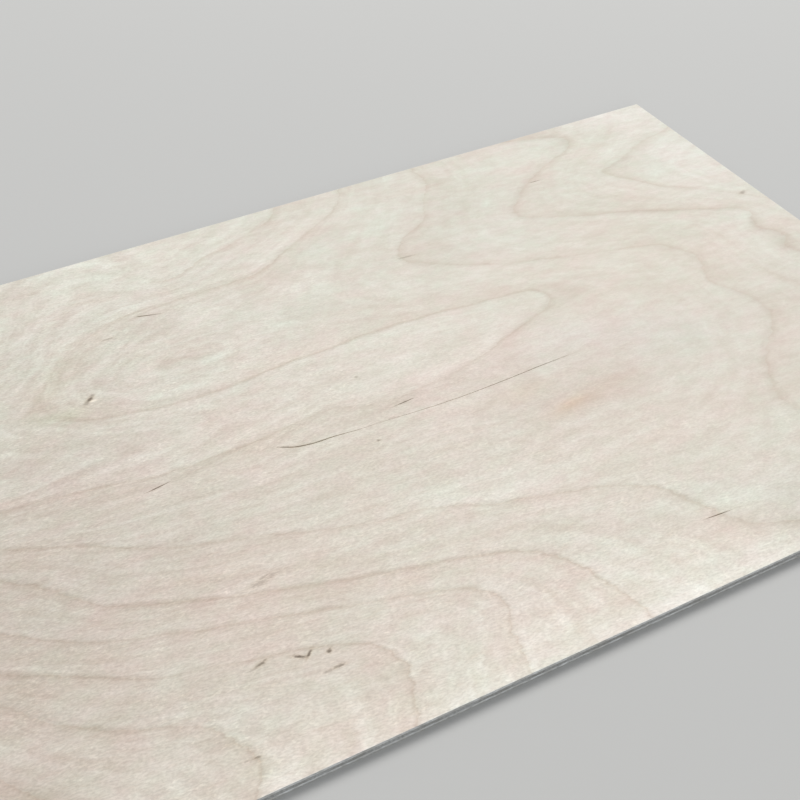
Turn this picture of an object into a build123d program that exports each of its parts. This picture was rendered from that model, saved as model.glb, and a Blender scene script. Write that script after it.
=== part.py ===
"""A small three-ply plywood sheet, lying flat with its good face up.

X runs along the sheet and along the grain of both outer veneers, Y runs across it, and Z is up.
The origin is on the underside, in the middle of the sheet. All sizes are in millimetres.
"""
from build123d import *
import math
import os

# The sheet
sheet_length = 300.0
sheet_width = 200.0

# The three veneers: the outer two were sanded after pressing, so the core is a little thicker
face_thickness = 0.95
core_thickness = 1.10
back_thickness = 0.95

# The sawn edges: sanding took the sharp corner off the two outer veneers
arris_break = 0.15

# The long split in the face veneer, open right down to the core.
# Each point is its place on the sheet, then the share of the full opening that the split has there.
split_opening = 0.40
split_run = [
    (-42.5, -12.4, 0.0),
    (-39.0, -14.1, 0.8),
    (-34.5, -15.2, 1.0),
    (-27.0, -15.6, 0.8),
    (-21.0, -16.2, 0.35),
    (-12.0, -16.6, 0.2),
    (-4.0, -17.2, 0.4),
    (8.0, -17.7, 0.45),
    (25.0, -17.4, 0.55),
    (38.0, -16.8, 0.35),
    (46.5, -16.6, 0.0),
]

# Short checks in the face veneer, along its grain: place of the middle, length, opening, heading
# in degrees from the length of the sheet
check_depth = 0.45
checks = [
    (-4.7, -12.3, 7.0, 0.30, 5.0),
    (-75.3, -11.5, 8.0, 0.40, 9.0),
    (-61.6, 60.6, 8.0, 0.40, -16.0),
    (84.8, 69.5, 6.5, 0.30, -2.0),
    (47.4, -83.0, 9.0, 0.30, -4.0),
]


def veneer(thickness, underside):
    """A flat veneer of the full length and width, with its underside at the given height."""
    slab = Box(sheet_length, sheet_width, thickness, align=(Align.CENTER, Align.CENTER, Align.MIN))
    return Pos(0, 0, underside) * slab


def split_outline():
    """The two lips of the long split, each a smooth curve half the opening away from its run."""
    near_lip = []
    far_lip = []
    for index, (x, y, share) in enumerate(split_run):
        before = split_run[max(index - 1, 0)]
        after = split_run[min(index + 1, len(split_run) - 1)]
        heading = math.atan2(after[1] - before[1], after[0] - before[0])
        half = split_opening * share / 2
        near_lip.append((x + half * math.sin(heading), y - half * math.cos(heading)))
        far_lip.append((x - half * math.sin(heading), y + half * math.cos(heading)))
    return make_face([Spline(*near_lip), Spline(*far_lip)])


def check_outline(x, y, length, opening, heading):
    """A check seen from above: two flat arcs that meet in a sharp point at each end."""
    left = (-length / 2, 0)
    right = (length / 2, 0)
    far_lip = ThreePointArc(left, (0, opening / 2), right)
    near_lip = ThreePointArc(left, (0, -opening / 2), right)
    return Pos(x, y) * Rot(0, 0, heading) * make_face([far_lip, near_lip])


def face_veneer():
    """The good face: a veneer with a broken arris all round its top, a long split and short checks."""
    underside = back_thickness + core_thickness
    top = underside + face_thickness
    plain = veneer(face_thickness, underside)
    top_edges = plain.faces().sort_by(Axis.Z)[-1].edges()
    ply = chamfer(top_edges, arris_break)
    ply -= Pos(0, 0, top) * extrude(split_outline(), -face_thickness)
    for check in checks:
        ply -= Pos(0, 0, top) * extrude(check_outline(*check), -check_depth)
    return ply


def core_veneer():
    """The core: one plain veneer with its grain across the sheet, sawn flush with the outer two."""
    return veneer(core_thickness, back_thickness)


def back_veneer():
    """The back: a veneer with a broken arris all round its underside."""
    plain = veneer(back_thickness, 0)
    bottom_edges = plain.faces().sort_by(Axis.Z)[0].edges()
    return chamfer(bottom_edges, arris_break)


sheet = {
    "face_veneer": face_veneer(),
    "core_veneer": core_veneer(),
    "back_veneer": back_veneer(),
}

os.makedirs("parts", exist_ok=True)
for name, ply in sheet.items():
    ply.label = name
    export_step(ply, f"parts/{name}.step")
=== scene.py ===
"""The looks of a small three-ply plywood sheet: three veneers, pale and sanded, with their sawn edges.

Shapes and places are worked out in millimetres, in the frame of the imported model: X along the sheet,
Y across it, Z up from its underside. A mesh is turned to metres when it is made.
"""
import math

import bpy
import numpy as np
from mathutils import Matrix, Vector


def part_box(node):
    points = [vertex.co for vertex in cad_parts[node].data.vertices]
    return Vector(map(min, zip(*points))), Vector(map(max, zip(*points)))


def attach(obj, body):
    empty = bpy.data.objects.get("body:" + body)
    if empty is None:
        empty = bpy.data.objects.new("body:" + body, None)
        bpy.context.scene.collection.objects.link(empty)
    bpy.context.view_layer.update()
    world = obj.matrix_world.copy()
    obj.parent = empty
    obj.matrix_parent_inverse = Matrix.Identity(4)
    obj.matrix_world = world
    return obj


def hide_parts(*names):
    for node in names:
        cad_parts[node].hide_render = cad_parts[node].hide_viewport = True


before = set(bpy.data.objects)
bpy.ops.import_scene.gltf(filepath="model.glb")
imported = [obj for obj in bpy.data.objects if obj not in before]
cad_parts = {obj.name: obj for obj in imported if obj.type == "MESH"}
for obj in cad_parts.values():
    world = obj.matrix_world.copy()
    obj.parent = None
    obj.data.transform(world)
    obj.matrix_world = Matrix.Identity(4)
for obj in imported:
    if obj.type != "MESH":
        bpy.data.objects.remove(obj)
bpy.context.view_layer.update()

MM = 0.001
BODY = "root"

# The three veneers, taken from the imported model
face_low, face_high = (np.array(corner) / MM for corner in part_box("face_veneer"))
back_low, back_high = (np.array(corner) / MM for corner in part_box("back_veneer"))
half_length = face_high[0]
half_width = face_high[1]
top = face_high[2]
upper_glue = face_low[2]
lower_glue = back_high[2]
underside = back_low[2]

# The mesh: how far apart its points are, how wide the sanded corner is, and how many steps that corner
# and the sawn wall have
mesh_step = 0.86
arris = 0.15
arris_steps = 3
wall_steps = 5

# Where the flat of a face ends
edge_x = half_length - arris
edge_y = half_width - arris

# The saw's marks on the outer veneers' walls and on the core's: how deep they are. They are a ripple of
# several waves between the shortest and the longest.
saw_mark = 0.035
core_saw_mark = 0.056
saw_seed = 5
saw_waves = 9
shortest_wave = 1.9
longest_wave = 23.0

# Soft young wood beside a growth line lies a little lower: how much, and how fast that fades across it
soft_wood_depth = 0.018
soft_wood_width = 3.0

# The growth lines of the good face. The wood beside a line is a little darker on the side where its
# age is just over a whole number of years, and may be paler on the other. A line at a half year is only
# faint, and one at another age only guides the figure. Each line is its age, how strong its thin line
# and its broad line are, how pale the strip before it is, and its points.
growth_lines = [
    (1.0, 0.65, 0.15, 1.5, [
        (-114, -1), (-94.5, -3.5), (-84.5, -5), (-76.5, -7.5), (-66.5, -8), (-46.5, -7.5), (-37, -6),
        (-27, -5), (-20, -6), (-17, -8.5)
    ]),
    (1.0, 0.3, 0.2, 1.5, [(-17, -8.5), (-9, -9.5), (-0.5, -10), (10.5, -8), (22.5, -5.5), (29.5, -3)]),
    (1.0, 0.8, 0.3, 0.5, [(29.5, -3), (37, 0), (45, 2.8), (53, 5.8), (56.5, 8.5), (55, 12.5), (51, 15)]),
    (1.0, 1.1, 0.15, 0.3, [
        (51, 15), (42, 16.5), (32.5, 17), (17.5, 19), (-2, 19.5), (-12, 18.5), (-25, 18.5), (-34.5, 18),
        (-44.5, 16.5), (-54.5, 16.5)
    ]),
    (1.0, 0.6, 0.15, 1.3, [(-54.5, 16.5), (-66.5, 17), (-74, 19), (-81, 19.5), (-88, 22), (-93, 24.5)]),
    (1.0, 0.12, 0.35, 1.5, [(-93, 24.5), (-99, 27), (-105, 30)]),
    (1.0, 0.0, 0.3, 1.2, [(-105, 30), (-102, 35), (-97, 41), (-92.5, 49), (-85.5, 56), (-77.5, 60.5)]),
    (1.0, 0.2, 0.7, 1.1, [(-77.5, 60.5), (-72, 63.5), (-64, 64.5), (-54, 64), (-34, 64.5), (-25.5, 64.5)]),
    (1.0, 0.55, 0.6, 1.2, [
        (-25.5, 64.5), (-18.5, 67), (-9.5, 73.5), (1.5, 80.5), (10, 85.5), (14, 89), (17, 92.5), (19, 98.5)
    ]),
    (2.0, 0.3, 0.7, 0.9, [
        (48.5, 99.5), (49.5, 92.5), (50, 87), (45.5, 81), (42, 75), (40.5, 69), (38.5, 65.5), (33.5, 63.5)
    ]),
    (2.0, 0.4, 0.5, 0.9, [
        (33.5, 63.5), (27.5, 60.5), (23, 54.5), (21, 50.5), (22.5, 47.5), (27.5, 43.5), (32.5, 41.5),
        (36.5, 37.5), (42.5, 35), (52, 30), (62, 27.5), (75.5, 23), (93.5, 18.5), (101, 16)
    ]),
    (2.0, 0.25, 0.65, 0.0, [
        (101, 16), (103.5, 12), (108.5, 6), (107, 2), (104, -3), (102.5, -8.5), (106, -13), (108, -17),
        (110.5, -21.5), (109, -29), (105, -34.5), (99, -39), (94, -44), (91, -50), (87.5, -55.5),
        (87, -59.5), (90, -66.5), (96, -76.5), (99, -88.5), (100, -100)
    ]),
    (2.0, 0.85, 0.05, 0.5, [
        (-115.5, -13.5), (-106.5, -17.5), (-96.5, -21.5), (-88.5, -26.5), (-80.5, -30.5), (-65, -36),
        (-57, -38), (-44, -43), (-37, -45), (-27.5, -48), (-20.5, -48), (-12.5, -50.5), (-5.5, -52.5),
        (-2.5, -54.5)
    ]),
    (2.0, 0.9, 0.1, 0.4, [
        (-2.5, -54.5), (14, -59), (30, -63.5), (35, -66.5), (42, -70.5), (42.5, -75), (47.5, -80.5),
        (49, -85), (51.5, -88), (57.5, -91), (64.5, -92), (71.5, -95.5), (74, -100)
    ]),
    (3.0, 0.4, 0.85, 0.0, [
        (85.5, 100), (93.5, 98), (101.5, 96), (107, 93.5), (111.5, 91), (110, 86), (106, 82.5), (99.5, 80),
        (92.5, 77), (87.5, 73), (81.5, 70.5), (78, 66.5), (74, 62), (69, 58.5), (67, 54), (71, 50),
        (78.5, 46.5)
    ]),
    (3.0, 0.5, 0.95, 0.0, [
        (78.5, 46.5), (89.5, 41.5), (98, 39), (106, 36), (113, 32), (120.5, 29), (127.5, 25), (134.5, 22.5),
        (139, 20), (140, 16.5), (136.5, 13.5), (133.5, 10), (134.5, 7.5), (140, 4), (141, 0.5),
        (134.5, -3.5), (136.5, -7.5), (142, -11.5), (150, -16.5)
    ]),
    (3.0, 0.9, 0.45, 0.1, [(-116.5, -23.5), (-111.5, -26.5), (-106.5, -31), (-101.5, -36), (-95.5, -41.5)]),
    (3.0, 1.1, 0.15, 0.6, [
        (-95.5, -41.5), (-87, -45.5), (-77, -49), (-67, -52.5), (-47, -58.5), (-27.5, -63.5), (-17.5, -65.5),
        (-9.5, -68), (-1.5, -70.5), (5, -74.5), (10, -80.5), (12, -87), (15, -93), (17, -100)
    ]),
    (4.0, 0.3, 0.6, 0.2, [
        (147, 77.5), (138.5, 75.5), (130.5, 73), (125.5, 69.5), (119, 67), (113, 65), (109.5, 63)
    ]),
    (4.0, 0.25, 0.7, 0.6, [
        (109.5, 63), (111, 59), (115, 54), (119, 50), (121.5, 45), (125.5, 42), (130.5, 39.5), (135.5, 34.5),
        (139.5, 31.5), (144, 26.5), (150, 20.5)
    ]),
    (4.0, 0.85, 0.15, 0.9, [
        (-118.5, -38.5), (-112.5, -42.5), (-106.5, -46.5), (-97, -51.5), (-77, -57.5), (-57, -63),
        (-37.5, -68.5), (-27.5, -71), (-19.5, -73.5), (-13.5, -76.5), (-10.5, -81), (-11.5, -85.5),
        (-14.5, -91), (-13, -95.5), (-15, -100)
    ]),
    (5.0, 0.95, 0.15, 1.1, [
        (-119.5, -49.5), (-114, -52), (-107, -55.5), (-101, -59), (-94, -63), (-87, -66), (-77, -68),
        (-57.5, -72.5), (-49.5, -74.5), (-43.5, -78), (-38.5, -82), (-37.5, -87.5), (-39.5, -93.5),
        (-41.5, -100)
    ]),
    (6.0, 0.9, 0.85, 0.0, [(-121, -57), (-118, -58), (-116, -62.5), (-109, -67.5)]),
    (6.0, 0.85, 0.45, 0.5, [
        (-109, -67.5), (-102, -72), (-96, -75), (-89, -77.5), (-83, -80), (-79.5, -83), (-76.5, -87),
        (-73.5, -91), (-73.5, -96), (-76.5, -100)
    ]),
    (0.0, 0.0, 0.1, 0.4, [(-66, 100), (-63, 90), (-58, 80), (-54, 76.5)]),
    (0.0, 0.3, 0.85, 0.9, [
        (-54, 76.5), (-51, 75.5), (-46, 76.5), (-42, 79.5), (-38, 82.5), (-32, 84), (-24, 85.5), (-20, 88.5),
        (-16.5, 90.5), (-10.5, 91.5), (-7.5, 95.5), (-5.5, 99.5)
    ]),
    (0.5, 0.4, 0.4, 1.0, [
        (-73.5, 75.5), (-62, 71.5), (-54, 69.5), (-44, 69), (-34, 70.5), (-28.5, 72.5), (-22.5, 76),
        (-14.5, 79.5), (-3.5, 85.5), (3.5, 89), (6.5, 93.5), (8.5, 99.5)
    ]),
    (1.5, 0.5, 0.2, 0.5, [
        (61.5, -50.5), (42, -46.5), (22, -41.5), (2.5, -34.5), (-17, -30), (-42, -25), (-66.5, -19),
        (-91.5, -13), (-114, -6.5)
    ]),
    (1.5, 0.5, 0.2, 0.5, [
        (61.5, -50.5), (76.5, -47), (85.5, -38), (91, -25), (89.5, -10), (87.5, 4), (79.5, 14), (62, 21),
        (42.5, 24), (22.5, 27.5), (8, 32.5), (-2, 40.5), (-5, 45.5), (-2, 52.5), (6, 59.5), (13, 65.5),
        (21, 75.5), (27, 85.5), (33, 99)
    ]),
    (0.72, 0.7, 0.1, 0.7, [(-114, 9), (-76.5, 7), (-46.5, 6.5), (-17, 5.5), (12.5, 5.5), (37.5, 8)]),
    (1.75, 0.35, 0.2, 0.6, [(-72, 34), (-58, 39.5), (-44.5, 35.5), (-58.5, 29.5), (-72, 34)]),
    (1.4, 0.35, 0.2, 0.6, [
        (-82, 36), (-68, 47.5), (-46, 47.5), (-28.5, 37.5), (-41.5, 26.5), (-66, 24), (-82, 36)
    ]),
]
# Single places where the age is known between the lines: the heart of the loop, the calm middle, the corner
known_ages = [
    (-58, 34.5, 1.9), (32, -28, 1.12), (47, -28, 1.12), (62, -20, 1.12), (12, -26, 1.14), (-103, 59, 0.45),
    (-95, 71, 0.4), (-90, 89, 0.3), (-78, 94, 0.25),
]
# How far apart the points of a growth line are set, and the widest that a year is taken to be
line_step = 4.0
widest_ring = 40.0

# The growth of the back: how wide its years are, its two long low waves, and its lines' look. A wave's
# rise is in years, and it comes round again after 2 pi times its length. The second one runs aslant.
back_ring = 19.0
long_rise = 0.8
long_wave = 61.0
slant_rise = 0.5
slant_wave = 37.0
slant_across = 43.0
back_look = (0.6, 0.3, 0.5)

# The cracks of the good face, from the near edge to the far one. The mesh has rows that run along each.
# A crack is its opening, its depth and its points: place, then the share of the opening there.
split_opening = 0.40
split_depth = 0.92
check_depth = 0.45
crack_rows = [
    [(0.30, check_depth, [(42.9, -82.7, 0), (47.4, -83.0, 1), (51.9, -83.3, 0)])],
    [(0.40, check_depth, [(-79.3, -12.1, 0), (-75.3, -11.5, 1), (-71.3, -10.9, 0)]),
     (split_opening, split_depth, [(-42.5, -12.4, 0.0), (-39.0, -14.1, 0.8), (-34.5, -15.2, 1.0),
                                   (-27.0, -15.6, 0.8), (-21.0, -16.2, 0.35), (-12.0, -16.6, 0.2),
                                   (-4.0, -17.2, 0.4), (8.0, -17.7, 0.45), (25.0, -17.4, 0.55),
                                   (38.0, -16.8, 0.35), (46.5, -16.6, 0.0)])],
    [(0.30, check_depth, [(-8.2, -12.6, 0), (-4.7, -12.3, 1), (-1.2, -12.0, 0)])],
    [(0.40, check_depth, [(-65.4, 61.7, 0), (-63.5, 61.2, 1), (-61.0, 60.4, 0.6), (-57.8, 59.5, 0)]),
     (0.30, check_depth, [(81.6, 69.6, 0), (84.8, 69.5, 1), (88.0, 69.4, 0)])],
]
# Half the gap left between a row's lips where there is no crack, the half opening past which lips are
# stained and how much, how deep a crack is where its painted shade is darkest, and how far rows of cracks
# keep apart
shut_crack = 0.03
narrow_crack = 0.10
lip_stain = 0.35
crack_shade_depth = 0.2
crack_gap = 2.0

# Small marks: place, length, width, heading in degrees, how dark (or how light, below nothing: a painted
# highlight), how deep
marks = [
    (-85.2, 30.4, 2.3, 1.4, 38, 0.74, 0.12),
    (-86.3, 29.3, 2.8, 1.6, 42, 0.34, 0.0),
    (-84.3, 31.6, 2.2, 1.5, 55, 0.36, 0.0),
    # A painted highlight beside the pin knot's dent
    (-84.4, 29.3, 2.6, 1.1, -8, -2.0, 0.0),
    (-66.9, -72.1, 2.3, 0.9, 10, 0.66, 0.05),
    (-65.6, -71.5, 1.4, 0.5, 10, 0.36, 0.02),
    (-68.9, -72.7, 2.4, 0.6, 9, 0.2, 0.0),
    (-58.5, -74.15, 3.1, 0.8, -30, 0.82, 0.06),
    (-56.3, -74.4, 2.4, 0.75, 44, 0.82, 0.06),
    (-52.0, -75.7, 1.4, 1.1, 15, 0.78, 0.08),
    (-51.3, -80.1, 2.8, 0.8, 0, 0.58, 0.05),
    (-53.9, -80.3, 3.6, 0.6, 3, 0.25, 0.0),
    (-60.6, -51.9, 4.8, 1.5, 3, 0.26, 0.0),
    (-57.0, -50.9, 3.4, 1.3, 12, 0.2, 0.0),
    (-59.3, -50.6, 3.6, 0.6, 12, 0.24, 0.0),
    (-74.0, -91.9, 1.6, 0.5, -5, 0.48, 0.04),
    (-75.8, -91.8, 3.0, 0.5, -5, 0.25, 0.0),
    (144.4, 28.1, 3.0, 1.6, 18, 0.38, 0.06),
    (-75.2, 54.8, 3.4, 0.9, -4, 0.34, 0.05),
    (24.0, 49.7, 6.0, 0.8, -5, 0.3, 0.0),
    (-17.1, -22.5, 1.1, 0.8, 0, 0.45, 0.0),
    (-13.0, 3.4, 1.1, 0.9, 0, 0.3, 0.0),
    (-40.6, -13.2, 4.2, 0.7, -25, 0.42, 0.0),
    (39.0, -16.8, 16.0, 0.5, 1, 0.22, 0.0),
    (-4.7, -12.3, 9.5, 0.5, 5, 0.15, 0.0),
    (-59.5, 60.0, 6.0, 0.6, -16, 0.35, 0.0),
]

# Soft patches: place, half length, half width, heading, then how pink, how pale (below nothing: how
# yellow) and how light it is. Pink, yellow and the small patches are the wood's own tone. The broad
# ones' lightness and paleness are partly painted light and shade: painted shade on the left and in the
# right middle, a painted highlight along the near edge, and painted light at the upper left and towards
# the far right corner.
patches = [
    (-85, -60, 135, 90, 0, 0.62, 0.0, -0.1),
    (-8, -12, 45, 13, -4, 0.33, 0.0, -0.1),
    (-90, 36, 14, 10, 20, 0.15, 0.0, 0.0),
    (105, -15, 25, 30, 0, 0.4, 0.0, 0.0),
    (36, -34.0, 5, 1.9, 9, 0.75, -0.55, -0.15),
    (40, -34.3, 14, 3.2, 9, 0.65, -0.35, -0.75),
    (27, -24, 7, 3.0, 0, -0.2, -0.4, -0.2),
    (38, -31, 26, 9, 0, 0.2, 0.0, -0.35),
    (62, -13, 26, 8, -20, 0.0, 1.0, 0.2),
    (64, 10, 8, 5, 15, 0.1, 0.0, -0.4),
    (118.5, 66.0, 8.5, 1.3, 17, 0.1, 0.0, -0.9),
    (108, 87, 5, 6, 30, 0.1, 0.0, -0.3),
    (-120, -35, 50, 58, 0, 0.0, 0.0, -0.9),
    (80, -25, 75, 22, 0, 0.0, 0.0, -0.45),
    (45, 50, 25, 25, 0, 0.0, 0.0, -0.3),
    (60, 95, 60, 12, 0, 0.0, 0.0, -0.2),
    (142, 55, 15, 60, 0, 0.0, 1.0, 0.55),
    (115, 98, 38, 6, 0, 0.0, 0.8, 0.4),
    (-75, 97, 22, 6, 0, 0.0, 0.4, 0.4),
    (-45, 75, 28, 7, 4, 0.0, 0.8, 0.3),
    (45, 72, 15, 11, 0, 0.1, 0.0, -0.35),
    (82, 66, 13, 13, 0, 0.3, 0.0, -0.4),
    (-38, 25, 23, 6.5, 0, 0.0, 0.5, 0.4),
    (-15, 1, 36, 5, 0, 0.0, 0.5, 0.4),
    (15, -12, 36, 6, -3, 0.1, 0.0, -0.5),
    (-94, 4, 24, 9, 0, 0.35, 0.0, -0.5),
    (-85, -37, 30, 16, 0, 0.15, 0.0, -0.3),
    (48, -39, 32, 9, 0, 0.4, 0.0, -0.2),
    (82, -58, 30, 12, 0, 0.45, 0.0, -0.2),
    (-68, -96, 15, 6, 0, 0.0, 0.4, 0.7),
    (0, -82, 18, 12, 0, 0.0, 0.5, 0.3),
    (42, -98, 24, 6, 0, 0.0, 1.0, 0.4),
    (-112, 0.5, 6, 2.0, -10, 0.9, 0.0, -0.6),
    (-121, -80, 14, 7, -30, 0.6, 0.0, -0.7),
    (-93, 29, 10, 6, 20, -0.1, -0.2, -0.5),
    (-94.5, 42, 14, 4.5, 64, -0.05, -0.35, -0.55),
    (-91, 27, 6, 2.5, -5, -0.2, -0.45, -0.3),
    (-84, 50, 17, 3.5, 46, 0.2, 0.0, 0.1),
    (71, -90, 13, 11, 0, 0.0, 0.0, -0.8),
    (28, -88, 28, 8, 0, 0.0, 0.0, 0.3),
    (-60, 90, 50, 25, 0, 0.0, 0.0, 0.5),
    (7, -98, 90, 12, 0, 0.0, 0.0, 0.9),
    (7, -100, 120, 2.8, 0, 0.0, 1.0, 0.9),
    (70, 15, 50, 28, 0, 0.3, 0.0, -0.1),
    (5, -5.5, 22, 2.0, 3, 0.0, 0.2, 0.3),
    (-11, 77, 14, 2.6, 35, 0.0, 0.4, 0.5),
    (-45, 67, 18, 1.6, 2, 0.0, 0.3, 0.3),
    (-30, 80, 24, 3.0, 18, 0.0, 0.0, -0.2),
    (-95, 72, 12, 2.5, 30, 0.0, 0.3, 0.4),
    (18, 86, 6, 1.6, 50, 0.0, 0.4, 0.5),
    (22, 77, 3, 1.6, 50, 0.0, 0.4, 0.6),
]

# The grain leans this much from the length of the sheet. It is clear up to one distance along a level
# direction, and faint from another on, towards the far right corner.
grain_lean = -5.0
clear_along = (0.8, 0.6, 0.0)
clear_until = -45.0
faint_from = 80.0
faint_share = 0.3

# How far the lines of the growth reach to each side, and by what share the soft wood after a line and the
# pale strip before it fade in a millimetre
thin_reach = 1.05
broad_reach = 2.8
half_year_reach = 2.0
soft_fade = 0.19
pale_fade = 0.24

# The plain colours, with nothing drawn on them yet
face_cream = (0.694, 0.661, 0.576, 1)
back_cream = (0.67, 0.62, 0.53, 1)
face_wall = (0.56, 0.56, 0.545, 1)
back_wall = (0.60, 0.605, 0.59, 1)
core_wall = (0.34, 0.34, 0.33, 1)
# The inside of a crack: painted shade in the narrow gap, with dark dirt
crack_shade_and_dirt = (0.075, 0.05, 0.038, 1)
mark_dark = (0.11, 0.078, 0.05, 1)
floor_grey = (0.57, 0.57, 0.56, 1)

# The tints that a colour is multiplied by: those of the growth lines, of the grain, of marks and cracks,
# of the soft patches, and of the edges
pale_strip = (1.034, 1.030, 1.035, 1)
soft_wood = (0.965, 0.927, 0.912, 1)
broad_line = (0.925, 0.910, 0.896, 1)
thin_line = (0.885, 0.866, 0.842, 1)
half_year_line = (0.92, 0.895, 0.865, 1)
pale_fleck = (1.115, 1.118, 1.110, 1)
dark_streak = (0.965, 0.950, 0.940, 1)
mark_rim = (0.80, 0.71, 0.60, 1)
lip_brown = (0.84, 0.79, 0.73, 1)
pinker = (1.104, 0.929, 0.924, 1)
# A pale, cool tint: partly the wood's own, partly a painted sheen and a painted highlight
pale_tint_and_sheen = (1.010, 1.02, 1.05, 1)
yellower = (1.0, 0.985, 0.87, 1)
# A pale, cool arris: partly the sanded fibres' own paleness, partly a painted highlight along the edge
arris_pale_and_highlight = (1.20, 1.25, 1.31, 1)
worn_dark = (0.82, 0.81, 0.79, 1)
worn_light = (1.14, 1.16, 1.19, 1)

# The floor, in metres: half its side, and how far it lies under the sheet
floor_half = 4.0
floor_drop = 0.00004

# The even light that comes from all sides
fill_colour = (0.95, 0.975, 1.0, 1)
fill_strength = 0.385

# The camera: its place, its heading from X, how far it looks down and how far it is rolled, in degrees,
# then its lens and its sensor, and the nearest that it sees, in metres
camera_place = (-72.7, -182.3, 184.9)
camera_heading = 68.5935
camera_down = 44.680
camera_roll = -4.156
camera_lens = 41.4
camera_sensor = 36.0
camera_nearest = 0.01


def walk(points, step):
    """A line through the points, walked in even steps, each place then averaged with its two neighbours."""
    points = np.array(points, float)
    lengths = np.hypot(*np.diff(points, axis=0).T)
    reach = np.concatenate([[0.0], np.cumsum(lengths)])
    walked = np.linspace(0.0, reach[-1], max(2, round(reach[-1] / step) + 1))
    line = np.column_stack([np.interp(walked, reach, points[:, 0]), np.interp(walked, reach, points[:, 1])])
    line[1:-1] = (line[:-2] + 2 * line[1:-1] + line[2:]) / 4
    return line


def in_blocks(work, places, most=4000):
    """Does some work on a few thousand places at a time, and joins what it gives."""
    return np.concatenate([work(block) for block in np.array_split(places, len(places) // most + 1)])


def thin_plate(places, heights, reach=100.0, stiffness=1e-5, least=1e-12):
    """The smooth surface through heights at places: a function that gives its height and slope anywhere.

    The surface is a plane plus one dome of r * r * log(r) over each place, r being the distance to it.
    The domes' weights and the plane come from one set of equations: the surface meets every height, and
    the domes together neither lift nor tilt it. The least square keeps the logarithm of 0 out.
    """
    places = places / reach
    count = len(places)
    away = ((places[:, None] - places[None]) ** 2).sum(-1)
    system = np.zeros((count + 3, count + 3))
    system[:count, :count] = 0.5 * away * np.log(np.maximum(away, least)) + stiffness * np.eye(count)
    system[:count, count] = 1.0
    system[:count, count + 1:] = places
    system[count:, :count] = system[:count, count:].T
    weights = np.linalg.solve(system, np.concatenate([heights, np.zeros(3)]))
    domes = weights[:count]
    lift = weights[count]
    tilt = weights[count + 1:]

    def surface(wanted):
        """The height at the wanted places, and the slope there along X and along Y."""
        wanted = wanted / reach
        offset = wanted[:, None] - places[None]
        square = np.maximum((offset ** 2).sum(-1), least)
        log_square = np.log(square)
        height = 0.5 * (square * log_square) @ domes + lift + wanted @ tilt
        slope = np.einsum("bpk,bp,p->bk", offset, log_square + 1.0, domes) + tilt
        return np.column_stack([height, slope / reach])

    return surface


def face_growth(x, y):
    """Age of the wood in years over the good face, its slope along X and Y, and the look of its lines.

    The age is the thin plate through the growth lines and the known ages. The look is a mean of the
    lines' own: thin, broad and pale. A point of a line weighs 1 / (d * d + 1) ** 2 at the distance d.
    """
    lines = [walk(points, line_step) for *_, points in growth_lines]
    ages = [np.full(len(line), one[0]) for line, one in zip(lines, growth_lines)]
    looks = np.concatenate([np.tile(one[1:4], (len(line), 1)) for line, one in zip(lines, growth_lines)])
    places = np.concatenate(lines)
    known = np.array(known_ages, float)
    surface = thin_plate(np.concatenate([places, known[:, :2]]), np.concatenate(ages + [known[:, 2]]))

    def look(wanted):
        """The weighted mean of the lines' looks at the wanted places."""
        away = ((wanted[:, None] - places[None]) ** 2).sum(-1)
        weight = 1.0 / (away + 1.0) ** 2
        return weight @ looks / weight.sum(-1, keepdims=True)

    wanted = np.column_stack([x.ravel(), y.ravel()])
    return [part.reshape(x.shape) for part in (*in_blocks(surface, wanted).T, *in_blocks(look, wanted).T)]


def back_growth(x, y):
    """Age over the back, its slope and its lines' look: it rises across the sheet, with long low waves."""
    long_turn = x / long_wave + 0.4
    slant_turn = x / slant_wave - y / slant_across
    age = y / back_ring + long_rise * np.sin(long_turn) + slant_rise * np.sin(slant_turn)
    slope_x = long_rise / long_wave * np.cos(long_turn) + slant_rise / slant_wave * np.cos(slant_turn)
    slope_y = 1 / back_ring - slant_rise / slant_across * np.cos(slant_turn)
    return age, slope_x, slope_y, *[np.full(x.shape, share) for share in back_look]


def through(points, column, x):
    """A smooth curve through points: cubic pieces, whose slope at a point is that between its neighbours."""
    points = np.array(points, float)
    px = points[:, 0]
    py = points[:, column]
    slope = np.gradient(py, px)
    left = np.clip(np.searchsorted(px, x) - 1, 0, len(px) - 2)
    width = px[left + 1] - px[left]
    t = np.clip((x - px[left]) / width, 0.0, 1.0)
    rise = py[left + 1] - py[left]
    start = slope[left] * width
    end = slope[left + 1] * width
    return py[left] + start * t + (3 * rise - 2 * start - end) * t ** 2 + (start + end - 2 * rise) * t ** 3


def crack_lines(cracks, x):
    """Middle line, half opening and depth at each column x of a row of cracks, end to end.

    The middle is one smooth curve through all their points. The opening follows each crack's own shares,
    and the depth is full from a share of a half on. Between cracks the row stays all but shut and level.
    """
    every = [point for _, _, points in cracks for point in points]
    middle = through(every, 1, x)
    half = np.full_like(x, shut_crack)
    depth = np.zeros_like(x)
    for opening, sunk, points in cracks:
        share = np.where((x > points[0][0]) & (x < points[-1][0]), through(points, 2, x), 0.0)
        share = np.clip(share, 0.0, 1.0)
        half = np.maximum(half, opening / 2 * share)
        depth = np.maximum(depth, sunk * np.minimum(1.0, 2.0 * share))
    return middle, half, depth


def between(near, far):
    """Rows evenly spaced between two rows, without the two themselves."""
    count = max(1, round(np.mean(far - near) / mesh_step))
    return [near + (far - near) * step / count for step in range(1, count)]


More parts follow.
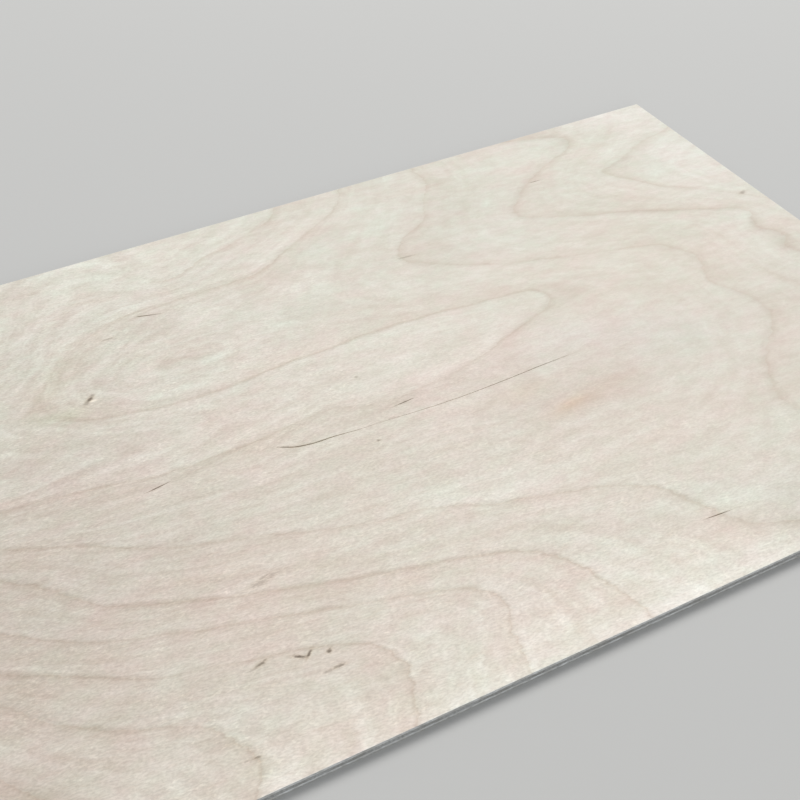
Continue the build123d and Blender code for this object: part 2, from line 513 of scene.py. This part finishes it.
def face_grid():
    """Places over the good face, how deep each is sunk and how stained, and which rows of them are lips.

    Columns are evenly spaced along the sheet. Rows are evenly spaced between one row of cracks and the
    next, so they bend along with the cracks. At a crack there are three rows: lip, bottom and lip. Its
    lips are stained where it gapes widest.
    """
    x = np.linspace(-edge_x, edge_x, round(2 * edge_x / mesh_step) + 1)
    rows = [np.full_like(x, -edge_y)]
    cracked = []
    reached = -half_width
    for cracks in crack_rows:
        middle, half, depth = crack_lines(cracks, x)
        middle = np.maximum(middle, reached + crack_gap)
        reached = middle
        rows += between(rows[-1], middle - half)
        cracked.append((len(rows), depth, np.clip((half - narrow_crack) / narrow_crack, 0.0, 1.0)))
        rows += [middle - half, middle, middle + half]
    far_edge = np.full_like(x, edge_y)
    rows += between(rows[-1], far_edge) + [far_edge]
    y = np.array(rows)
    sunk = np.zeros_like(y)
    stain = np.zeros_like(y)
    for lip, depth, share in cracked:
        sunk[lip + 1] = depth
        stain[[lip, lip + 2]] = share
    lips = [row for lip, *_ in cracked for row in (lip, lip + 2)]
    return np.broadcast_to(x, y.shape).copy(), y, sunk, stain, lips


def plain_grid():
    """Places over a plain face: even columns and rows, two steps apart, with nothing sunk and no lips."""
    x = np.linspace(-edge_x, edge_x, round(edge_x / mesh_step) + 1)
    y = np.linspace(-edge_y, edge_y, round(edge_y / mesh_step) + 1)
    x, y = np.meshgrid(x, y)
    return x, y, np.zeros_like(x), np.zeros_like(x), []


def oval(x, y, place_x, place_y, half_long, half_wide, heading):
    """Where each place lies in an oval: along and across it, in shares of its half length and width."""
    turn = math.radians(heading)
    along = ((x - place_x) * math.cos(turn) + (y - place_y) * math.sin(turn)) / half_long
    across = ((y - place_y) * math.cos(turn) - (x - place_x) * math.sin(turn)) / half_wide
    return along, across


def dents(x, y):
    """How deep each place is dented: each mark's own depth, fading as exp(-r * r) over its oval."""
    dent = np.zeros(x.shape)
    for mark_x, mark_y, length, width, heading, _, depth in marks:
        along, across = oval(x, y, mark_x, mark_y, length / 2, width / 2, heading)
        dent += depth * np.exp(-along ** 2 - across ** 2)
    return dent


def patch_tone_and_painted_light(x, y):
    """Pinkness, paleness and lightness at each place: a sum of soft ovals that fade as exp(-r * r). The
    paleness and lightness are partly painted light and shade.
    """
    tone = np.zeros(x.shape + (3,))
    for *shape, pink, pale, light in patches:
        along, across = oval(x, y, *shape)
        tone += np.exp(-along ** 2 - across ** 2)[..., None] * np.array([pink, pale, light])
    return tone


def ripple(place):
    """A value that wanders between 0 and 1 along the edge: the mean of sines of growing lengths."""
    lengths = np.geomspace(shortest_wave, longest_wave, saw_waves)
    starts = np.random.default_rng(saw_seed).uniform(0, 2 * np.pi, saw_waves)
    return 0.5 + 0.5 * np.sin(2 * np.pi * place[..., None] / lengths + starts).mean(-1)


def rim_of(x, y):
    """A grid's border in one loop, anticlockwise from above: numbers, places and the way along it."""
    rows, columns = x.shape
    number = np.arange(rows * columns).reshape(rows, columns)
    rim = np.concatenate([number[0, :-1], number[:-1, -1], number[-1, :0:-1], number[:0:-1, 0]])
    rim_x = x.ravel()[rim]
    rim_y = y.ravel()[rim]
    steps = np.hypot(np.diff(rim_x), np.diff(rim_y))
    return rim, rim_x, rim_y, np.concatenate([[0.0], np.cumsum(steps)])


def wall_loops(rim_x, rim_y, reach, levels):
    """Loops of points round the sheet. Each is the border stretched to its own inset, at its own height.

    A level is an inset, a height and the depth of the saw's marks there. The marks are a ripple along
    the edge that drifts from level to level.
    """
    places = []
    for inset, height, mark in levels:
        inward = inset + mark * ripple(reach + height)
        along = rim_x * (half_length - inward) / edge_x
        across = rim_y * (half_width - inward) / edge_y
        places.append(np.stack([along, across, np.full(along.shape, height)], -1))
    return np.array(places)


def sawn_levels(start, end, steps, mark):
    """Levels of a sawn wall from one height to another. The saw's marks fade out at both ends as a sine."""
    shares = np.arange(steps + 1) / steps
    return [(0.0, start + (end - start) * share, mark * math.sin(math.pi * share)) for share in shares]


def arris_levels(outer, way):
    """Levels of a rounded arris, from the face at its outer height: a quarter circle of inset and drop."""
    levels = []
    for step in range(1, arris_steps):
        turn = math.pi / 2 * step / arris_steps
        levels.append((arris * (1 - math.sin(turn)), outer - way * arris * (1 - math.cos(turn)), 0.0))
    return levels


def make_piece(name, points, faces, attributes, creases):
    """A closed mesh object from points in millimetres, with faces of three or four corners.

    An attribute is a number or a vector for each point. A crease is a path of point numbers whose edges
    stay sharp.
    """
    mesh = bpy.data.meshes.new(name)
    mesh.vertices.add(len(points))
    mesh.vertices.foreach_set("co", (points * MM).astype(np.float32).ravel())
    sizes = np.concatenate([np.full(len(group), group.shape[1]) for group in faces])
    corners = np.concatenate([group.ravel() for group in faces])
    mesh.loops.add(len(corners))
    mesh.loops.foreach_set("vertex_index", corners.astype(np.int32))
    mesh.polygons.add(len(sizes))
    mesh.polygons.foreach_set("loop_start", np.concatenate([[0], np.cumsum(sizes)[:-1]]).astype(np.int32))
    mesh.update(calc_edges=True)
    mesh.polygons.foreach_set("use_smooth", np.ones(len(sizes), bool))
    ends = np.empty(len(mesh.edges) * 2, np.int32)
    mesh.edges.foreach_get("vertices", ends)
    ends = np.sort(ends.reshape(-1, 2), axis=1).astype(np.int64)
    sharp = np.concatenate([np.sort(np.stack([path[:-1], path[1:]], -1), axis=1) for path in creases])
    is_sharp = np.isin(ends[:, 0] * len(points) + ends[:, 1], sharp[:, 0] * len(points) + sharp[:, 1])
    mesh.attributes.new("sharp_edge", "BOOLEAN", "EDGE").data.foreach_set("value", is_sharp)
    for label, values in attributes.items():
        kind, field = ("FLOAT", "value") if values.ndim == 1 else ("FLOAT_VECTOR", "vector")
        mesh.attributes.new(label, kind, "POINT").data.foreach_set(field, values.astype(np.float32).ravel())
    mesh.validate()
    piece = bpy.data.objects.new(name, mesh)
    bpy.context.scene.collection.objects.link(piece)
    return piece


def grid_faces(rows, columns):
    """Four-cornered faces of a grid of points numbered row by row."""
    number = np.arange(rows * columns).reshape(rows, columns)
    return np.stack([number[:-1, :-1], number[:-1, 1:], number[1:, 1:], number[1:, :-1]], -1).reshape(-1, 4)


def band_faces(upper, lower):
    """Four-cornered faces between two closed loops of point numbers, the upper one first."""
    return np.stack([upper, lower, np.roll(lower, -1), np.roll(upper, -1)], -1)


def skirt_faces(loops):
    """Bands of faces from each closed loop of point numbers down to the next."""
    return np.concatenate([band_faces(upper, lower) for upper, lower in zip(loops, loops[1:])])


def closed(loop):
    """A loop of point numbers as a path that ends where it starts."""
    return np.append(loop, loop[0])


def young_wood(age, slope_x, slope_y):
    """How much lower the soft wood past a growth line lies: it fades as exp(-distance / width)."""
    ring = 1.0 / np.maximum(np.hypot(slope_x, slope_y), 1.0 / widest_ring)
    return soft_wood_depth * np.exp(-np.mod(age, 1.0) * ring / soft_wood_width)


def outer_veneer(name, grid, outer, glue, growth_of, marked):
    """A sanded veneer: a grid over its outer face, loops down its wall and a fan over its glue face.

    The face stands at its outer height, less what is sunk at each place: cracks, dents and young wood,
    the last two only inside the border.
    """
    x, y, sunk, stain, lips = grid
    age, slope_x, slope_y, *look = growth_of(x, y)
    dent = dents(x, y) if marked else np.zeros(x.shape)
    tone = patch_tone_and_painted_light(x, y) if marked else np.zeros(x.shape + (3,))
    inner = np.zeros(x.shape)
    inner[1:-1, 1:-1] = 1.0
    way = math.copysign(1.0, outer - glue)
    height = outer - way * (sunk + (dent + young_wood(age, slope_x, slope_y)) * inner)
    # Painted shade and dirt that deepen with a crack's depth, and the stain of its lips
    crack = np.minimum(1.0, sunk / crack_shade_depth) + lip_stain * stain
    rim, *border = rim_of(x, y)
    levels = arris_levels(outer, way) + sawn_levels(outer - way * arris, glue, wall_steps, saw_mark)
    walls = wall_loops(*border, levels)
    face = np.stack([x, y, height], -1).reshape(-1, 3)
    points = np.concatenate([face, walls.reshape(-1, 3), [[0.0, 0.0, glue]]])
    loops = len(face) + np.arange(len(levels) * len(rim)).reshape(len(levels), len(rim))
    hub = np.full(len(rim), len(points) - 1)
    fan = np.stack([loops[-1], hub, np.roll(loops[-1], -1)], -1)
    faces = [grid_faces(*x.shape), skirt_faces([rim, *loops]), fan]
    if way < 0:
        faces = [group[:, ::-1] for group in faces]

    def spread(values, last):
        """A face's values carried down its walls, and a last one for the middle of the glue face."""
        flat = values.reshape(x.size, -1)
        down = np.tile(flat[rim], (len(levels), 1))
        joined = np.concatenate([flat, down, np.full((1, flat.shape[1]), last)])
        return joined[:, 0] if values.ndim == 2 else joined

    slope = np.stack([slope_x, slope_y, np.zeros(x.shape)], -1)
    sawn = np.minimum(1.0, np.arange(1, len(levels) + 1) / arris_steps)
    attributes = {
        "age": spread(age, 0.0),
        "slope": spread(slope, 1.0),
        "look": spread(np.stack(look, -1), 0.0),
        "crack": spread(crack, 0.0),
        "tone": spread(tone, 0.0),
        "sawn": np.concatenate([np.zeros(x.size), np.repeat(sawn, len(rim)), [1.0]]),
    }
    number = np.arange(x.size).reshape(x.shape)
    creases = [number[row] for row in lips] + [closed(rim), closed(loops[-1])]
    return make_piece(name, points, faces, attributes, creases)


def core_veneer(name, high, low):
    """The core: loops of points round the sheet between its two glue faces, each of which is a fan."""
    x, y, *_ = plain_grid()
    rim, *border = rim_of(x, y)
    levels = sawn_levels(high, low, wall_steps + 2, core_saw_mark)
    loops = wall_loops(*border, levels)
    points = np.concatenate([loops.reshape(-1, 3), [[0.0, 0.0, high], [0.0, 0.0, low]]])
    number = np.arange(len(levels) * len(rim)).reshape(len(levels), len(rim))
    upper_hub = np.full(len(rim), len(points) - 2)
    lower_hub = np.full(len(rim), len(points) - 1)
    upper_fan = np.stack([upper_hub, number[0], np.roll(number[0], -1)], -1)
    lower_fan = np.stack([number[-1], lower_hub, np.roll(number[-1], -1)], -1)
    creases = [closed(number[0]), closed(number[-1])]
    return make_piece(name, points, [skirt_faces(number), upper_fan, lower_fan], {}, creases)


class Finish:
    """A material with its nodes. Each method adds a node and gives back its output."""

    def __init__(self, name):
        """Starts a material with its shader and nothing joined to it yet."""
        self.material = bpy.data.materials.new(name)
        self.material.use_nodes = True
        self.nodes = self.material.node_tree.nodes
        self.links = self.material.node_tree.links
        self.shader = self.nodes["Principled BSDF"]

    def join(self, socket, value):
        """Links an output to a socket, or sets the socket to a plain value."""
        if isinstance(value, bpy.types.NodeSocket):
            self.links.new(value, socket)
        else:
            socket.default_value = value

    def add(self, kind, inputs, output=0, **settings):
        """Adds a node with its settings and inputs, and gives back one of its outputs."""
        node = self.nodes.new(kind)
        for setting, value in settings.items():
            setattr(node, setting, value)
        for socket, value in inputs.items():
            self.join(node.inputs[socket], value)
        return node.outputs[output]

    def attribute(self, name, output="Fac"):
        """What the mesh carries by that name at each point."""
        return self.add("ShaderNodeAttribute", {}, output, attribute_name=name)

    def calc(self, operation, a, b=0.0, c=0.0, clamp=False):
        """One step of arithmetic on up to three numbers, kept between 0 and 1 if it is clamped."""
        return self.add("ShaderNodeMath", {0: a, 1: b, 2: c}, operation=operation, use_clamp=clamp)

    def times(self, a, b):
        """One number times another."""
        return self.calc("MULTIPLY", a, b)

    def fade(self, value, start, end, low=0.0, high=1.0):
        """Low at start and high at end, with a soft step between."""
        inputs = {"Value": value, "From Min": start, "From Max": end, "To Min": low, "To Max": high}
        return self.add("ShaderNodeMapRange", inputs, interpolation_type="SMOOTHSTEP")

    def scale(self, vector, factors):
        """A vector with each of its parts times a factor of its own."""
        return self.add("ShaderNodeVectorMath", {0: vector, 1: factors}, operation="MULTIPLY")

    def length(self, vector):
        """How long a vector is."""
        return self.add("ShaderNodeVectorMath", {0: vector}, "Value", operation="LENGTH")

    def parts(self, vector):
        """The three parts of a vector."""
        return self.add("ShaderNodeSeparateXYZ", {0: vector}).node.outputs

    def noise(self, vector, size=1.0, detail=2.0, roughness=0.5, curl=0.0):
        """Noise between 0 and 1 with features of about that size. Curl bends them this way and that."""
        inputs = {"Vector": vector, "Scale": 1.0 / size, "Detail": detail, "Roughness": roughness,
                  "Distortion": curl}
        return self.add("ShaderNodeTexNoise", inputs, "Fac")

    def dot(self, first, second):
        """The dot product of two vectors."""
        return self.add("ShaderNodeVectorMath", {0: first, 1: second}, "Value", operation="DOT_PRODUCT")

    def along(self, age, often, vector, factors):
        """A vector whose noise is drawn out along the growth: the age so often a year, and a little place."""
        banded = self.add("ShaderNodeCombineXYZ", {0: self.times(age, often)})
        little = self.scale(vector, factors)
        return self.add("ShaderNodeVectorMath", {0: banded, 1: little}, operation="ADD")

    def tint(self, colour, by, amount=1.0):
        """A colour multiplied by another, by an amount from 0 to 1."""
        inputs = {0: amount, 6: colour, 7: by}
        return self.add("ShaderNodeMix", inputs, 2, data_type="RGBA", blend_type="MULTIPLY")

    def blend(self, amount, first, second):
        """The first colour at the amount 0, the second at 1, and a mix of them between."""
        return self.add("ShaderNodeMix", {0: amount, 6: first, 7: second}, 2, data_type="RGBA")

    def shade(self, colour, value):
        """A colour multiplied by a number."""
        return self.tint(colour, self.add("ShaderNodeCombineColor", {0: value, 1: value, 2: value}))

    def swing(self, colour, value, shift, amount=1.0):
        """A colour whose red, green and blue are lowered by a shift at the value 0 and raised at 1."""
        shift = np.array([*shift, 0.0])
        return self.tint(colour, self.blend(value, tuple(1.0 - shift), tuple(1.0 + shift)), amount)

    def tone(self, colour, value, depth, pink, amount=1.0):
        """A colour darker by a depth where the value is 0, and lighter by it where the value is 1.

        Pink is the share by which red changes less than green does. Blue changes more, by half as much.
        """
        return self.swing(colour, value, (depth * (1.0 - pink), depth, depth * (1.0 + pink / 2)), amount)

    def place(self):
        """The place on the object in millimetres."""
        return self.scale(self.add("ShaderNodeTexCoord", {}, "Object"), (1 / MM, 1 / MM, 1 / MM))

    def turned(self, vector, degrees):
        """A vector turned about the upright."""
        inputs = {"Vector": vector, "Angle": math.radians(degrees)}
        return self.add("ShaderNodeVectorRotate", inputs, rotation_type="Z_AXIS")

    def finish(self, colour, roughness, height, relief):
        """Joins colour, roughness and a bump of the given relief in millimetres to the shader."""
        bump = self.add("ShaderNodeBump", {"Height": height, "Distance": relief * MM}, "Normal")
        self.join(self.shader.inputs["Base Color"], colour)
        self.join(self.shader.inputs["Roughness"], roughness)
        self.join(self.shader.inputs["Normal"], bump)
        return self.material


def drawn_growth(wood, grain):
    """The age with the wander of its lines, and how many millimetres wide a year is.

    Every line wanders a little, and one that crosses the grain is drawn out along the fibres.
    """
    slope = wood.attribute("slope", "Vector")
    steep = wood.calc("MAXIMUM", wood.length(slope), 1.0 / widest_ring)
    lean = (math.cos(math.radians(grain_lean)), math.sin(math.radians(grain_lean)), 0.0)
    crossing = wood.dot(slope, lean)
    drawn = wood.noise(wood.scale(grain, (0.15, 0.55, 1.0)), detail=3.0)
    drawn = wood.times(crossing, wood.calc("MULTIPLY_ADD", drawn, 3.0, -1.5))
    wander = wood.noise(wood.scale(grain, (0.12, 0.35, 1.0)), detail=3.0)
    wander = wood.times(steep, wood.calc("MULTIPLY_ADD", wander, 1.6, -0.8))
    age = wood.calc("ADD", wood.attribute("age"), wood.calc("ADD", drawn, wander))
    return age, wood.calc("DIVIDE", 1.0, steep)


def cream_ground(wood, cream, grain):
    """Cream wood in large and small patches of tone, the darker the pinker, and of pinker and greener hue."""
    drawn_out = wood.scale(grain, (0.4, 1.0, 1.0))
    large_tone = wood.fade(wood.noise(drawn_out, size=14.0, detail=3.0), 0.25, 0.75)
    small_tone = wood.fade(wood.noise(drawn_out, size=3.5, detail=3.0, roughness=0.6), 0.25, 0.75)
    large_hue = wood.fade(wood.noise(grain, size=22.0, detail=1.0), 0.3, 0.7)
    middle_hue = wood.fade(wood.noise(drawn_out, size=8.0, detail=3.0, roughness=0.6), 0.3, 0.7)
    small_hue = wood.fade(wood.noise(grain, size=4.0, detail=1.0), 0.3, 0.7)
    colour = wood.tone(cream, large_tone, depth=0.035, pink=0.4)
    colour = wood.tone(colour, small_tone, depth=0.042, pink=0.3)
    colour = wood.swing(colour, middle_hue, shift=(0.016, -0.011, -0.002))
    colour = wood.swing(colour, large_hue, shift=(0.010, -0.007, -0.003))
    return wood.swing(colour, small_hue, shift=(0.008, -0.007, 0.003))


def growth_figure(wood, colour, age, ring, place, grain, clear):
    """Faint bands along the growth, and its lines with a pale strip before and pinkish soft wood after.

    A band is noise that reads the age much faster than the place. A line is a thin dark one with a broad
    soft one round it, and a fainter one runs at each half year.
    """
    past = wood.calc("FRACT", age)
    after = wood.times(past, ring)
    before = wood.times(wood.calc("SUBTRACT", 1.0, past), ring)
    nearest = wood.calc("MINIMUM", after, before)
    thin, broad, pale = wood.parts(wood.attribute("look", "Vector"))
    patchy = wood.fade(wood.noise(place, size=19.0), 0.35, 0.62, low=0.6, high=1.1)
    slow_bands = wood.noise(wood.along(age, 5.0, grain, (0.035, 0.05, 0.0)), detail=1.5)
    wide_ring = wood.fade(ring, 8.0, 24.0, low=0.3)
    colour = wood.tone(colour, wood.fade(slow_bands, 0.3, 0.7), depth=0.026, pink=0.3, amount=wide_ring)
    bands = wood.noise(wood.along(age, 11.0, grain, (0.07, 0.09, 0.0)), detail=2.6, roughness=0.58)
    shown = wood.times(wood.fade(clear, 0.3, 1.0, low=0.5), wood.fade(ring, 8.0, 24.0, low=0.62))
    colour = wood.tone(colour, wood.fade(bands, 0.28, 0.72), depth=0.08, pink=0.22, amount=shown)
    narrow = wood.times(wood.fade(nearest, thin_reach, 0.0), wood.times(thin, patchy))
    wide = wood.times(wood.fade(nearest, broad_reach, 0.2), wood.times(broad, patchy))
    both = wood.times(wood.calc("ADD", thin, broad), patchy)
    soft_side = wood.times(wood.calc("EXPONENT", wood.times(after, -soft_fade)), both)
    pale_side = wood.times(wood.calc("EXPONENT", wood.times(before, -pale_fade)), pale)
    colour = wood.tint(colour, pale_strip, pale_side)
    colour = wood.tint(colour, soft_wood, soft_side)
    colour = wood.tint(colour, broad_line, wide)
    colour = wood.tint(colour, thin_line, narrow)
    half_way = wood.calc("ABSOLUTE", wood.calc("SUBTRACT", past, 0.5))
    half_year = wood.fade(wood.times(half_way, ring), half_year_reach, 0.1)
    faint = wood.times(half_year, wood.times(both, 0.35))
    return wood.tint(colour, half_year_line, faint), bands


def fine_grain(wood, colour, place, grain, clear):
    """Short fibres, clusters of pale flecks and a few darker streaks, as strong as the grain is clear.

    Also gives the fibres by themselves.
    """
    mottle = wood.noise(wood.scale(grain, (0.5, 1.0, 1.0)), size=1.3, roughness=0.55, curl=0.4)
    mottled = wood.fade(clear, 0.3, 1.0, low=0.65)
    colour = wood.tone(colour, wood.fade(mottle, 0.25, 0.75), depth=0.056, pink=0.15, amount=mottled)
    fibre = wood.noise(wood.scale(grain, (1.0, 2.3, 1.0)), detail=2.2, roughness=0.6)
    colour = wood.tone(colour, wood.fade(fibre, 0.25, 0.75), depth=0.105, pink=0.0, amount=clear)
    clusters = wood.fade(wood.noise(place, size=8.0), 0.38, 0.62, low=0.15)
    flecks = wood.noise(wood.scale(grain, (0.7, 1.6, 1.0)), detail=1.0, curl=0.9)
    flecks = wood.times(wood.fade(flecks, 0.54, 0.70), wood.times(clusters, clear))
    colour = wood.tint(colour, pale_fleck, flecks)
    streaks = wood.noise(wood.scale(grain, (0.22, 1.3, 1.0)), curl=0.4)
    streaks = wood.times(wood.fade(streaks, 0.55, 0.72), clear)
    return wood.tint(colour, dark_streak, streaks), fibre


def small_marks(wood, colour, place, fibre):
    """The small marks: ovals with ragged rims, brown round a dark middle. A light one is a painted highlight,
    a pale gleam.
    """
    ragged = wood.calc("MULTIPLY_ADD", fibre, 1.2, -0.6)
    flat = wood.scale(place, (1.0, 1.0, 0.0))
    for mark_x, mark_y, length, width, heading, darkness, _ in marks:
        turn = (0.0, 0.0, math.radians(heading))
        inputs = {"Vector": flat, "Location": (mark_x, mark_y, 0.0), "Rotation": turn,
                  "Scale": (length / 2, width / 2, 1.0)}
        inside = wood.length(wood.add("ShaderNodeMapping", inputs, vector_type="TEXTURE"))
        reach = wood.calc("ADD", inside, ragged)
        # A mark lighter than the wood is a painted highlight
        if darkness < 0.0:
            colour = wood.shade(colour, wood.fade(reach, 1.5, 0.2, low=1.0, high=1.0 - 0.25 * darkness))
        else:
            colour = wood.tint(colour, mark_rim, wood.fade(reach, 2.3, 0.6, high=0.5 * darkness))
            colour = wood.blend(wood.fade(reach, 1.3, 0.3, high=darkness), colour, mark_dark)
    return colour


def patches_painted_light_and_cracks(wood, colour):
    """The soft patches, pink, pale or yellow, whose paleness and lightness are partly painted light and
    shade, a brown stain along cracks' lips, and their dark walls: painted shade with dark dirt.
    """
    pink, pale, light = wood.parts(wood.attribute("tone", "Vector"))
    colour = wood.tint(colour, pinker, wood.calc("MULTIPLY", pink, 0.5, clamp=True))
    # Paleness: partly the wood's own, partly a painted sheen towards the far right corner and a painted
    # highlight along the near edge
    colour = wood.tint(colour, pale_tint_and_sheen, wood.calc("ADD", pale, 0.0, clamp=True))
    colour = wood.tint(colour, yellower, wood.calc("MULTIPLY", pale, -1.0, clamp=True))
    # Lightness of the patches: partly the wood's own tone, partly painted light and shade
    colour = wood.shade(colour, wood.calc("MULTIPLY_ADD", light, 0.1, 1.0))
    crack = wood.attribute("crack")
    colour = wood.tint(colour, lip_brown, wood.fade(crack, 0.04, lip_stain, high=0.45))
    # Cracks darkened towards their bottom: painted shade, with dark dirt
    return wood.blend(wood.fade(crack, lip_stain, 0.9), colour, crack_shade_and_dirt)


def sanded_veneer(name, cream, sawn_wood, marked):
    """Pale sanded wood with its growth, fine grain and marks, an arris paler from sanding and carrying a
    painted highlight, and a torn, duller sawn wall.

    The grain is clear on the near side and fainter towards the far right corner.
    """
    wood = Finish(name)
    place = wood.place()
    grain = wood.turned(place, -grain_lean)
    age, ring = drawn_growth(wood, grain)
    clear = wood.fade(wood.dot(place, clear_along), clear_until, faint_from, low=1.0, high=faint_share)
    colour, bands = growth_figure(wood, cream_ground(wood, cream, grain), age, ring, place, grain, clear)
    colour, fibre = fine_grain(wood, colour, place, grain, clear)
    if marked:
        colour = small_marks(wood, colour, place, fibre)
    colour = patches_painted_light_and_cracks(wood, colour)
    sawn = wood.attribute("sawn")
    torn = wood.noise(wood.scale(place, (0.7, 0.7, 2.2)), detail=3.0, roughness=0.7)
    worn = wood.noise(wood.scale(place, (1.0, 1.0, 0.6)), size=4.0)
    wall = wood.shade(sawn_wood, wood.fade(torn, 0.28, 0.72, low=0.70, high=1.30))
    wall = wood.tint(wall, wood.blend(wood.fade(worn, 0.3, 0.7), worn_dark, worn_light))
    # The arris is paler from sanding and also carries a painted highlight
    colour = wood.tint(colour, arris_pale_and_highlight, wood.fade(sawn, 0.0, 0.3))
    colour = wood.blend(wood.fade(sawn, 0.5, 1.0), colour, wall)
    roughness = wood.fade(bands, 0.3, 0.7, low=0.52, high=0.64)
    height = wood.calc("ADD", fibre, wood.times(wood.times(sawn, torn), 3.0))
    return wood.finish(colour, roughness, height, relief=0.02)


def sawn_core(name):
    """The core's sawn wall: its ends of fibre on the long edges, its long grain on the short ones."""
    wood = Finish(name)
    place = wood.place()
    pores = wood.noise(wood.scale(place, (2.0, 1.0, 1.6)), detail=3.0, roughness=0.7)
    smears = wood.noise(wood.scale(place, (0.3, 0.3, 0.5)), detail=3.0)
    colour = wood.shade(core_wall, wood.fade(pores, 0.28, 0.72, low=0.66, high=1.34))
    colour = wood.tint(colour, wood.blend(wood.fade(smears, 0.3, 0.7), worn_dark, worn_light))
    roughness = wood.fade(pores, 0.3, 0.7, low=0.7, high=0.85)
    return wood.finish(colour, roughness, pores, relief=0.06)


def dress(piece, node, material):
    """Gives a piece its finish and hides the model's part that it stands for. It rides with the sheet."""
    piece.data.materials.append(material)
    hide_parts(node)
    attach(piece, BODY)


def build_sheet():
    """The three veneers with their finishes."""
    face = outer_veneer("good_face", face_grid(), top, upper_glue, face_growth, marked=True)
    back = outer_veneer("back_face", plain_grid(), underside, lower_glue, back_growth, marked=False)
    core = core_veneer("core_ply", upper_glue, lower_glue)
    dress(face, "face_veneer", sanded_veneer("sanded_face", face_cream, face_wall, marked=True))
    dress(back, "back_veneer", sanded_veneer("sanded_back", back_cream, back_wall, marked=False))
    dress(core, "core_veneer", sawn_core("sawn_core"))


def build_floor():
    """A plain pale floor, a large square just under the sheet."""
    mesh = bpy.data.meshes.new("floor")
    corners = [(x * floor_half, y * floor_half, -floor_drop) for x, y in ((-1, -1), (1, -1), (1, 1), (-1, 1))]
    mesh.from_pydata(corners, [], [(0, 1, 2, 3)])
    floor = bpy.data.objects.new("floor", mesh)
    bpy.context.scene.collection.objects.link(floor)
    paint = Finish("pale_floor")
    paint.shader.inputs["Base Color"].default_value = floor_grey
    paint.shader.inputs["Roughness"].default_value = 0.9
    paint.shader.inputs["Specular IOR Level"].default_value = 0.2
    mesh.materials.append(paint.material)


def soft_lamp(name, place, size, energy, colour):
    """A square area lamp at a place in metres, facing the sheet."""
    lamp = bpy.data.lights.new(name, "AREA")
    lamp.shape = "SQUARE"
    lamp.size = size
    lamp.energy = energy
    lamp.color = colour
    softbox = bpy.data.objects.new(name, lamp)
    place = Vector(place)
    softbox.matrix_world = Matrix.Translation(place) @ place.to_track_quat("Z", "Y").to_matrix().to_4x4()
    bpy.context.scene.collection.objects.link(softbox)


def light_studio():
    """A large soft lamp high behind the sheet, a weak one low in front, and an even fill from the world."""
    world = bpy.data.worlds.new("studio")
    world.use_nodes = True
    fill = world.node_tree.nodes["Background"]
    fill.inputs["Color"].default_value = fill_colour
    fill.inputs["Strength"].default_value = fill_strength
    bpy.context.scene.world = world
    soft_lamp("key", (0.745, 0.985, 1.75), size=1.2, energy=35.0, colour=(1.0, 0.985, 0.965))
    soft_lamp("front_fill", (-0.5, -1.6, 0.45), size=0.8, energy=6.0, colour=(0.97, 0.985, 1.0))


def aim_camera():
    """The camera: close above the near side, looking down across the sheet to its far right corner.

    It starts by looking straight down, with Y up in its view. It is rolled about its view, tipped up
    about X, and turned about the upright to its heading.
    """
    roll = Matrix.Rotation(math.radians(camera_roll), 4, "Z")
    tip = Matrix.Rotation(math.radians(90.0 - camera_down), 4, "X")
    turn = Matrix.Rotation(math.radians(camera_heading - 90.0), 4, "Z")
    camera_data = bpy.data.cameras.new("camera")
    camera_data.sensor_width = camera_sensor
    camera_data.lens = camera_lens
    camera_data.clip_start = camera_nearest
    camera = bpy.data.objects.new("camera", camera_data)
    camera.matrix_world = Matrix.Translation(Vector(camera_place) * MM) @ turn @ tip @ roll
    bpy.context.scene.collection.objects.link(camera)
    bpy.context.scene.camera = camera


build_sheet()
build_floor()
light_studio()
aim_camera()
bpy.context.scene.view_settings.view_transform = "Standard"
